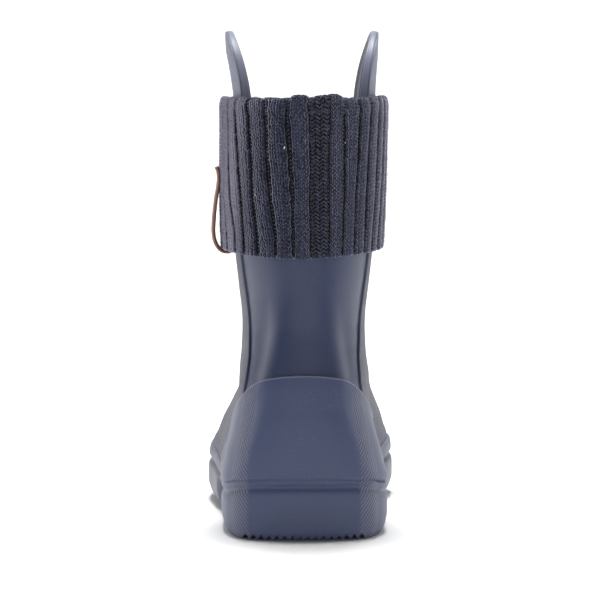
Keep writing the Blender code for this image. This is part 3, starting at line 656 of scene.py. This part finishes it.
# notches along the heel's rear edge; near the corners they run in further, as the outline is round
TOOTH_COUNT, TOOTH_PITCH = 16, 0.003
NOTCH = ((-0.00145, -0.0006), (-0.0011, 0.0010), (0.0, 0.0026), (0.0011, 0.0010), (0.00145, -0.0006))
teeth = []
for k in range(TOOTH_COUNT):
    x = (k - (TOOTH_COUNT - 1) / 2) * TOOTH_PITCH
    teeth.append(([(x + side, -0.004, up) for side, up in NOTCH], (0, 0.0125 + 17.6 * x * x, 0)))
cutters = [prisms("tread slots", slots), prisms("heel teeth", teeth)]
for cutter in cutters:
    cut = outsole.modifiers.new(cutter.name, "BOOLEAN")
    cut.operation, cut.solver, cut.object = "DIFFERENCE", "EXACT", cutter
graph = bpy.context.evaluated_depsgraph_get()
whole = bpy.data.meshes.new_from_object(outsole.evaluated_get(graph))
outsole.modifiers.clear()
outsole.data = whole
for cutter in cutters:
    bpy.data.objects.remove(cutter, do_unlink=True)
whole.shade_smooth()
whole.set_sharp_from_angle(angle=math.radians(40))
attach(outsole, "root")
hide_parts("outsole")


# ---------------------------------------------------------------- Insole
# A loose footbed of foam with a woven cloth face, dark and plain. It lies in the sole's tray.
cloth = Finish("woven insole cloth, charcoal", 0.9)
x, y, z = cloth.axes()
threads = 2 * math.pi / 0.0011
weave = (x * threads).sum("SINE") * (y * threads).sum("SINE")
cloth.bump(weave + cloth.noise(900.0), 0.00012)
cloth.set("Base Color", cloth.mix(weave * 0.3 + 0.4, (0.035, 0.038, 0.050), (0.070, 0.074, 0.092)))
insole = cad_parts["insole"]
insole.data.materials.clear()
insole.data.materials.append(cloth.material)


# ---------------------------------------------------------------- Knitted cuff
# A tube of rib knit in thick soft yarn, sewn round the collar and turned down over itself. The ribs are
# three stitches wide with a purl stitch sunk between them, and a seam runs down the back.
# heights of the hem and of the fold's start, the yarn's way between them, how far the ribs' face stands
# off the shaft, and the rise at which the girth is measured
FIRST_RIB, LAST_RIB = -17, 15
HEM, FOLD_START, STRAIGHT = 0.109, 0.164, 0.0545
FACE = 0.0044
GIRTH_RISE = 0.8

# rib edge, its place at the top, half way down and low down, as shares of the girth
RIB_HEIGHTS = (0.164, 0.131, 0.116)
RIBS = (
    (-17, -0.500, -0.500, -0.500),
    (-5, -0.1502, -0.1395, -0.1331),
    (-4, -0.1175, -0.1090, -0.1065),
    (-3, -0.0871, -0.0816, -0.0812),
    (-2, -0.0567, -0.0563, -0.0562),
    (-1, -0.0300, -0.0309, -0.0301),
    (0, -0.0042, -0.0059, -0.0075),
    (1, 0.0262, 0.0215, 0.0194),
    (2, 0.0635, 0.0543, 0.0479),
    (3, 0.0985, 0.0879, 0.0788),
    (4, 0.1373, 0.1207, 0.1121),
    (5, 0.1696, 0.1594, 0.1410),
    (15, 0.500, 0.500, 0.500),
)
# place over the fold, distance out as a share of the cuff's thickness, height over the straight part
FOLD = (
    (1.00, 1.00, 0.0000),
    (1.14, 0.96, 0.0028),
    (1.30, 0.82, 0.0052),
    (1.50, 0.55, 0.0062),
    (1.70, 0.27, 0.0055),
    (1.86, 0.10, 0.0034),
    (2.00, 0.07, 0.0012),
)
# rib, how far the fold stands up there
FOLD_LIFT = (
    (-17, 0.0003),
    (-8, 0.0006),
    (-5, 0.0010),
    (-4, 0.0005),
    (-3, 0.0002),
    (-2, 0.0001),
    (-1.6, 0.0015),
    (-0.9, 0.0020),
    (-0.5, 0.0017),
    (-0.05, 0.0009),
    (0.3, 0.0014),
    (0.8, 0.0013),
    (1.05, 0.0001),
    (2.5, 0.0001),
    (4, 0.0005),
    (15, 0.0003),
)


def hem_height(spot):
    """The turned-down hem: a little lower at the back than at the sides, and highest on the inner side."""
    tilt = np.where(spot[..., 0] > 0, 0.0026, 0.0020) * np.abs(spot[..., 0]) / 0.039
    return HEM + 0.0008 * (np.minimum(1, spot[..., 1] / 0.047) - 0.5) + tilt


def hang(spot):
    """How far the hem hangs away from the narrowing shaft on the outer side."""
    return 0.0013 * ramp(-spot[..., 0], 0.002, 0.026)


girth_angle = np.linspace(0, 2 * math.pi, 1441)
girth_steps = np.linalg.norm(np.diff(section(girth_angle, GIRTH_RISE), axis=0), axis=1)
girth_run = np.concatenate([[0], np.cumsum(girth_steps)])
girth_run /= girth_run[-1]


def cuff(rib, up, raise_by=0.0):
    """A point of the cuff. rib counts round it; up is 0 at the hem, 1 at the fold and 2 over the fold."""
    rib, up = np.broadcast_arrays(np.asarray(rib, float), np.asarray(up, float))
    table = np.array(RIBS)
    top, middle, low = RIB_HEIGHTS
    wander = 0.035 * np.sin(up * 6.0 + rib * 2.1) + 0.012 * np.sin(up * 17.0 + rib * 4.3)
    wandered = rib + wander * (1 - (rib / FIRST_RIB) ** 2)
    places = [np.interp(wandered, table[:, 0], table[:, k]) for k in (1, 2, 3)]
    rough_z = HEM + np.minimum(up, 1) * (FOLD_START - HEM)
    upper_share = np.clip((rough_z - middle) / (top - middle), 0, 1)
    lower_share = np.clip((middle - rough_z) / (middle - low), 0, 1)
    share = places[1] + (places[0] - places[1]) * upper_share + (places[2] - places[1]) * lower_share
    angle = np.interp(share % 1, girth_run, girth_angle)
    spot = section(angle, GIRTH_RISE)
    hem = hem_height(spot)
    z = hem + np.minimum(up, 1) * (FOLD_START - hem) + np.where(up > 1, smooth(FOLD, up, 2), 0)
    z = z + smooth(FOLD_LIFT, rib) * ramp(up, 0.75, 1.35)
    out = np.where(up > 1, smooth(FOLD, up, 1), 1.0) * FACE + hang(spot) * (1 - np.minimum(up, 1))
    part = rib % 1
    crest = 1 - np.abs(2 * part - 1) ** 3
    crest = np.where((rib >= -1) & (rib < 0), 0.15 + 0 * crest, crest)
    show = np.where(up > 1, smooth(((1, 1.0), (1.5, 0.75), (2, 0.2)), up), 1.0)
    sink = -(1 - crest) * show * 0.0011 + raise_by
    slant_out = np.where(up > 1, smooth(((1, 1.0), (1.5, 0.0), (2, -1.0)), up), 1.0)
    slant_up = np.sqrt(np.maximum(0, 1 - slant_out**2))
    ledge_here = smooth(STATIONS, spot[..., 1] / SOLE_LENGTH, 2)
    rise_here = (z - ledge_here) / (COLLAR_HEIGHT - ledge_here)
    point = skin(angle, rise_here, out + sink * slant_out)
    point[..., 2] = z + sink * slant_up
    return point


yarn = Finish("soft yarn, slate blue", 0.95, Sheen_Weight=1.0, Sheen_Roughness=0.35, Specular_IOR_Level=0.12)
yarn.set("Sheen Tint", (0.86, 0.86, 1.0, 1))
tone_and_shade = yarn.attribute("tone_and_shade")
x, y, z = yarn.axes()
# each stitch's tone varies, with painted shade on the wales beside the grooves and on the purl bumps in them;
# the fluff is pale; painted sheen of grazing light pales both sides of the cuff, and painted shade darkens a
# band of ribs on the outer side
painted_edge_sheen = (1 - x.ramp(-0.0310, -0.0225)) * 0.86
painted_edge_sheen = painted_edge_sheen + x.ramp(0.0050, 0.0120) * 0.07 + x.ramp(0.0215, 0.0265) * 0.16
shaded = x.band(-0.0300, -0.0240, -0.0110, -0.0040)
fluff = yarn.noise(2200.0, 3.0)
patches = yarn.noise(420.0, 2.0)
yarn.bump(fluff, 0.00015)
colour = yarn.mix(tone_and_shade, (0.009, 0.012, 0.024), (0.039, 0.047, 0.087))
colour = yarn.mix((patches - 0.45) * 1.0, colour, (0.056, 0.064, 0.106))
colour = yarn.mix((fluff - 0.50) * 1.6, colour, (0.114, 0.120, 0.168))
colour = yarn.mix(painted_edge_sheen, colour, (0.190, 0.180, 0.235))
colour = yarn.mix(shaded * 0.36, colour, (0.010, 0.012, 0.026))
yarn.set("Base Color", colour)

# the knitted ground behind the stitches is near black: painted shade in the gaps between them
shade_ground = Finish("knitted ground, dark as painted shade", 0.97, Specular_IOR_Level=0.1)
shade_ground.bump(shade_ground.noise(1100.0, 3.0), 0.0002)
shade_ground.set("Base Color", shade_ground.mix(shade_ground.noise(700.0), (0.004, 0.004, 0.007), (0.014, 0.014, 0.020)))

# the ground behind the stitches: up the outside, over the fold and down the inside of the tube
ribs_round = np.linspace(FIRST_RIB, LAST_RIB, 513)[:-1]
outer_up = np.concatenate([np.linspace(0.004, 1, 28), np.linspace(1, 2, 15)[1:]])
rows = [cuff(ribs_round, up, -0.00045) for up in outer_up]
share = np.interp(ribs_round, np.array(RIBS)[:, 0], np.array(RIBS)[:, 2])
loop_angle = np.interp(share % 1, girth_run, girth_angle)
spot = section(loop_angle, GIRTH_RISE)
ledge_here = smooth(STATIONS, spot[:, 1] / SOLE_LENGTH, 2)
hem_line = cuff(ribs_round, 0.0)[:, 2]
tube_end, tube_top = np.full(len(ribs_round), 0.124), np.full(len(ribs_round), 0.1635)
for out, height_here, hanging in (
    (0.0003, tube_end, 0),
    (0.0020, tube_end, 0),
    (0.0020, tube_top, 0),
    (0.0023, tube_top, 0),
    (0.0023, hem_line, 1),
    (0.0032, hem_line, 1),
):
    rise_here = (height_here - ledge_here) / (COLLAR_HEIGHT - ledge_here)
    row = skin(loop_angle, rise_here, out + hang(spot) * hanging)
    row[:, 2] = height_here
    rows.append(row)
ground_knit = piece("knitted_cuff_ground", np.array(rows))
ground_knit.data.materials.append(shade_ground.material)
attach(ground_knit, "root")
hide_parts("knitted_cuff")


def spindle(name, rings, sides=5):
    """A short length of yarn along Y, one unit long: each ring is its place, radius and lift."""
    points, faces = [(0, -0.5, rings[0][2])], []
    for place, radius, lift in rings:
        for k in range(sides):
            turn = 2 * math.pi * k / sides
            points.append((radius * math.cos(turn), place, lift + radius * math.sin(turn)))
    points.append((0, 0.5, rings[-1][2]))
    last = len(points) - 1
    for k in range(sides):
        after = (k + 1) % sides
        faces.append((0, 1 + k, 1 + after))
        faces.append((last, last - sides + after, last - sides + k))
        for r in range(len(rings) - 1):
            low = 1 + r * sides
            faces.append((low + k, low + sides + k, low + sides + after, low + after))
    return closed(name, points, faces)


def laying_tree():
    """Lays a shape on every point, turned to its 'facing' and 'running' directions, as one mesh."""
    tree = bpy.data.node_groups.new("lay shapes on points", "GeometryNodeTree")
    for label, kind in (("Points", "Geometry"), ("Shape", "Object"), ("Finish", "Material")):
        tree.interface.new_socket(label, in_out="INPUT", socket_type="NodeSocket" + kind)
    tree.interface.new_socket("Mesh", in_out="OUTPUT", socket_type="NodeSocketGeometry")

    def add(kind, settings=None, links=None):
        node = tree.nodes.new(kind)
        for key, value in (settings or {}).items():
            setattr(node, key, value)
        for key, value in (links or {}).items():
            if isinstance(value, bpy.types.NodeSocket):
                tree.links.new(value, node.inputs[key])
            else:
                node.inputs[key].default_value = value
        return node

    given = add("NodeGroupInput")
    facing_at, running_at, size_at = (
        add("GeometryNodeInputNamedAttribute", {"data_type": "FLOAT_VECTOR"}, {0: label}).outputs[0]
        for label in ("facing", "running", "size")
    )
    lie = add("FunctionNodeAlignRotationToVector", {"axis": "Z"}, {"Vector": facing_at})
    run = add(
        "FunctionNodeAlignRotationToVector",
        {"axis": "Y", "pivot_axis": "Z"},
        {"Rotation": lie.outputs[0], "Vector": running_at},
    )
    shape = add("GeometryNodeObjectInfo", None, {"Object": given.outputs["Shape"]}).outputs["Geometry"]
    places = {"Points": given.outputs["Points"], "Rotation": run.outputs[0], "Scale": size_at}
    laid = add("GeometryNodeInstanceOnPoints", None, {**places, "Instance": shape})
    real = add("GeometryNodeRealizeInstances", None, {0: laid.outputs[0]}).outputs[0]
    finished = add("GeometryNodeSetMaterial", None, {"Geometry": real, "Material": given.outputs["Finish"]})
    add("NodeGroupOutput", None, {0: finished.outputs[0]})
    return tree


laying = laying_tree()


def lay(name, shape, material, points, face, run, size, tone_and_shade):
    """A joined mesh of one shape laid on many points."""
    mesh = bpy.data.meshes.new(name)
    mesh.from_pydata((points.reshape(-1, 3) + ROW).tolist(), [], [])
    for label, values in (("facing", face), ("running", run), ("size", size)):
        mesh.attributes.new(label, "FLOAT_VECTOR", "POINT").data.foreach_set("vector", np.ravel(values))
    mesh.attributes.new("tone_and_shade", "FLOAT", "POINT").data.foreach_set("value", np.ravel(tone_and_shade))
    obj = bpy.data.objects.new(name, mesh)
    scene.collection.objects.link(obj)
    modifier = obj.modifiers.new("laid", "NODES")
    modifier.node_group = laying
    given = {"Shape": shape, "Finish": material}
    for item in laying.interface.items_tree:
        if item.in_out == "INPUT" and item.name in given:
            modifier[item.identifier] = given[item.name]
    graph = bpy.context.evaluated_depsgraph_get()
    whole = bpy.data.meshes.new_from_object(obj.evaluated_get(graph))
    obj.modifiers.clear()
    obj.data = whole
    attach(obj, "root")


def sized(shape, across, along, thick):
    """Width, length and thickness for every stitch."""
    return np.stack([np.broadcast_to(value, shape) for value in (across, along, thick)], -1)


def on_cuff(rib, up, lift):
    """Points of the cuff with the directions out of it, up it and round it."""
    point = cuff(rib, up, lift)
    up_way = unit(cuff(rib, up + 0.004, lift) - cuff(rib, up - 0.004, lift))
    round_way = unit(cuff(rib + 0.02, up, lift) - cuff(rib - 0.02, up, lift))
    face = unit(np.cross(up_way, round_way))
    away = point - np.array((0.0, 0.048, 0.168))
    face = np.where((face * away).sum(-1, keepdims=True) < 0, -face, face)
    return point, face, up_way, round_way


# the courses of the knit, evenly spaced from the hem up and over the fold
COURSE = 0.00145
chance = np.random.default_rng(5)
over = np.linspace(1, 2, 101)
fold_line = np.stack([smooth(FOLD, over, 1) * FACE, smooth(FOLD, over, 2)], 1)
over_run = np.concatenate([[0], np.cumsum(np.linalg.norm(np.diff(fold_line, axis=0), axis=1))])
yarn_run = np.arange(0.0007, STRAIGHT + over_run[-1] - 0.001, COURSE)
courses = np.where(yarn_run < STRAIGHT, yarn_run / STRAIGHT, np.interp(yarn_run - STRAIGHT, over_run, over))

# three wales on every rib but the seam's, each stitch of two strands that lean together
stitch = spindle("stitch", ((-0.32, 0.36, 0.0), (0.0, 0.5, 0.06), (0.32, 0.36, 0.0)))
groups = {"outer_side": [], "inner_side": []}
for rib in range(FIRST_RIB, LAST_RIB):
    if rib == -1:
        continue
    for wale in (0.26, 0.5, 0.74):
        for hand in (-1, 1):
            groups["outer_side" if rib >= 0 else "inner_side"].append((rib + wale, hand))
for label, wales in groups.items():
    wale, hand = (np.array(v, float) for v in zip(*wales))
    rib = np.repeat(wale[:, None], len(courses), 1)
    side = np.repeat(hand[:, None], len(courses), 1)
    up = np.repeat(courses[None, :], len(wale), 0)
    up = up + chance.normal(0, 0.0012, up.shape)
    rib = rib + chance.normal(0, 0.012, rib.shape)
    width = np.linalg.norm(cuff(rib + 0.1, up) - cuff(rib - 0.1, up), axis=-1) / 0.2 * 0.24
    middle, face, up_way, round_way = on_cuff(rib + side * 0.066, up, -0.00038)
    run = unit(up_way + round_way * side[..., None] * 0.42)
    size = sized(up.shape, width * 0.60, 0.00235, 0.00085)
    size *= chance.normal(1, 0.06, size.shape)
    # a random tone, with the wales beside the grooves darker as painted shade
    shade = np.clip(chance.normal(0.55, 0.28, up.shape) - 0.25 * (np.abs(rib % 1 - 0.5) > 0.15), 0, 1)
    lay("knitted_cuff_stitches_" + label, stitch, yarn.material, middle, face, run, size, shade)

# one level purl bump in every groove on every course
grooves = np.arange(FIRST_RIB, LAST_RIB).astype(float)
rib = np.repeat(grooves[:, None], len(courses), 1)
up = np.repeat(courses[None, :], len(grooves), 0) + chance.normal(0, 0.001, rib.shape)
middle, face, up_way, round_way = on_cuff(rib, up, -0.00035)
size = sized(up.shape, 0.0008, 0.0013, 0.0007)
size *= chance.normal(1, 0.08, size.shape)
# the purl bumps sit nearly black as painted shade in the grooves, paler towards the fold
shade = np.clip(chance.normal(0.02, 0.10, up.shape) + 0.5 * ramp(up, 0.75, 1.0), 0, 1)
lay("knitted_cuff_purl_bumps", stitch, yarn.material, middle, face, round_way, size, shade)

# the seam's four columns of thread, which slope by turns to make two rows of arrows
seam_place = np.array((-0.86, -0.62, -0.38, -0.14))
slope = np.array((0.95, -0.95, 0.95, -0.95))[:, None, None]
rib = np.repeat(seam_place[:, None], len(courses), 1)
rib = rib + chance.normal(0, 0.012, rib.shape)
up = np.repeat(courses[None, :], len(seam_place), 0) + chance.normal(0, 0.0012, rib.shape)
middle, face, up_way, round_way = on_cuff(rib, up, -0.00020)
run = unit(round_way + up_way * slope)
size = sized(up.shape, 0.00066, 0.0021, 0.0009)
size *= chance.normal(1, 0.08, size.shape)
shade = np.clip(chance.normal(0.62, 0.25, up.shape), 0, 1)
lay("knitted_cuff_seam_stitches", stitch, yarn.material, middle, face, run, size, shade)

# the cast-on edge along the hem
cast = np.concatenate([rib + np.array((0.15, 0.38, 0.62, 0.85)) for rib in range(FIRST_RIB, LAST_RIB)])
middle, face, up_way, round_way = on_cuff(cast, np.full(cast.shape, 0.002), -0.0006)
run = unit(round_way + up_way * 0.15)
size = sized(cast.shape, 0.0011, 0.0026, 0.0012)
shade = np.clip(chance.normal(0.8, 0.15, cast.shape), 0, 1)
lay("knitted_cuff_hem_edge", stitch, yarn.material, middle, face, run, size, shade)

# loose fibres that stand off the yarn any way
HAIR = 0.00006
hair = spindle("loose fibre", ((-0.2, 0.5, 4.5), (0.2, 0.5, 4.5)), sides=3)
count = 8000
rib = chance.uniform(FIRST_RIB, LAST_RIB, count)
up = chance.uniform(0.02, 1.7, count)
middle, face, up_way, round_way = on_cuff(rib, up, 0.0)
run = unit(up_way * chance.normal(0, 1, (count, 1)) + round_way * chance.normal(0, 1, (count, 1))
           + face * chance.uniform(0.0, 1.1, (count, 1)))
size = sized((count,), HAIR, chance.uniform(0.0010, 0.0034, count), HAIR)
lay("knitted_cuff_loose_fibres", hair, yarn.material, middle, face, run, size, np.ones(count))

# three specks of white lint
lint = Finish("white lint", 0.9)
lint.set("Base Color", (0.85, 0.85, 0.85, 1))
rib, up = np.array((1.18, 2.75, -2.05)), np.array((0.77, 0.43, 0.80))
middle, face, up_way, round_way = on_cuff(rib, up, 0.0001)
run = unit(up_way - round_way * 0.3)
size = np.array(((0.0006, 0.0012, 0.0006), (0.0004, 0.0006, 0.0004), (0.0004, 0.0006, 0.0004)))
lay("knitted_cuff_lint", stitch, lint.material, middle, face, run, size, np.ones(3))
for shape in (stitch, hair):
    bpy.data.objects.remove(shape, do_unlink=True)


# ---------------------------------------------------------------- Leather tab
# A blank strip of brown leather with a smooth face and a dark flesh side. It hangs on the cuff's outer
# side and is folded under the hem.
TAB_CENTRE = 0.282 * SOLE_LENGTH
TAB_WIDTH = 0.016
TAB_THICKNESS = 0.0012

# the strip's middle from its top down and under the hem: distance out from the cuff's face and height
# over the hem
TAB_RUN = (
    (0.0018, 0.0322),
    (0.0011, 0.0300),
    (0.0010, 0.0278),
    (0.0013, 0.0250),
    (0.0021, 0.0211),
    (0.0030, 0.0158),
    (0.0036, 0.0111),
    (0.0040, 0.0068),
    (0.0039, 0.0041),
    (0.0033, 0.0016),
    (0.0020, -0.0005),
    (0.0004, -0.0013),
    (-0.0012, -0.0014),
    (-0.0023, -0.0010),
    (-0.0031, 0.0004),
    (-0.00325, 0.0026),
    (-0.00325, 0.0100),
)
knots = np.array(TAB_RUN)
table = np.column_stack([np.arange(len(knots)), knots])
at = np.linspace(0, len(knots) - 1, 97)
line = np.stack([smooth(table, at, 1), smooth(table, at, 2)], 1)
run = unit(np.gradient(line, axis=0))
w, h = TAB_WIDTH / 2, TAB_THICKNESS / 2
corners = [np.array(c) for c in ((-w, h), (w, h), (w, -h), (-w, -h))]
outline = divided(np.array(rounded(corners, 0.00035)), 8)
hem_here = float(hem_height(on_shaft(TAB_CENTRE, HEM, 1, 0.0)))
w, h = outline[:, 0], outline[:, 1]
rows = []
for (out, up), way in zip(line, run):
    rows.append(on_shaft(TAB_CENTRE + w, hem_here + up + way[0] * h, 1, FACE + out - way[1] * h))
flesh = np.repeat((h < -0.0001)[None, :].astype(float), len(rows), 0)
tab = piece("leather_strip", np.array(rows), ends="caps", attributes={"flesh": flesh})
leather = Finish("brown leather", 0.55, Coat_Weight=0.08)
flesh_side = leather.attribute("flesh")
pores = leather.node("ShaderNodeTexVoronoi", {"feature": "F1"}, {"Vector": leather.place, "Scale": 1500.0})[0]
cloudy = leather.noise(160.0, 4.0)
leather.bump(pores * 0.6 + cloudy * 0.8, 0.00010)
colour = leather.mix(cloudy, (0.150, 0.055, 0.036), (0.270, 0.110, 0.070))
leather.set("Base Color", leather.mix(flesh_side, colour, (0.030, 0.016, 0.012)))
leather.set("Roughness", 0.45 + cloudy * 0.2)
tab.data.materials.append(leather.material)
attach(tab, "root")
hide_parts("leather_tab")
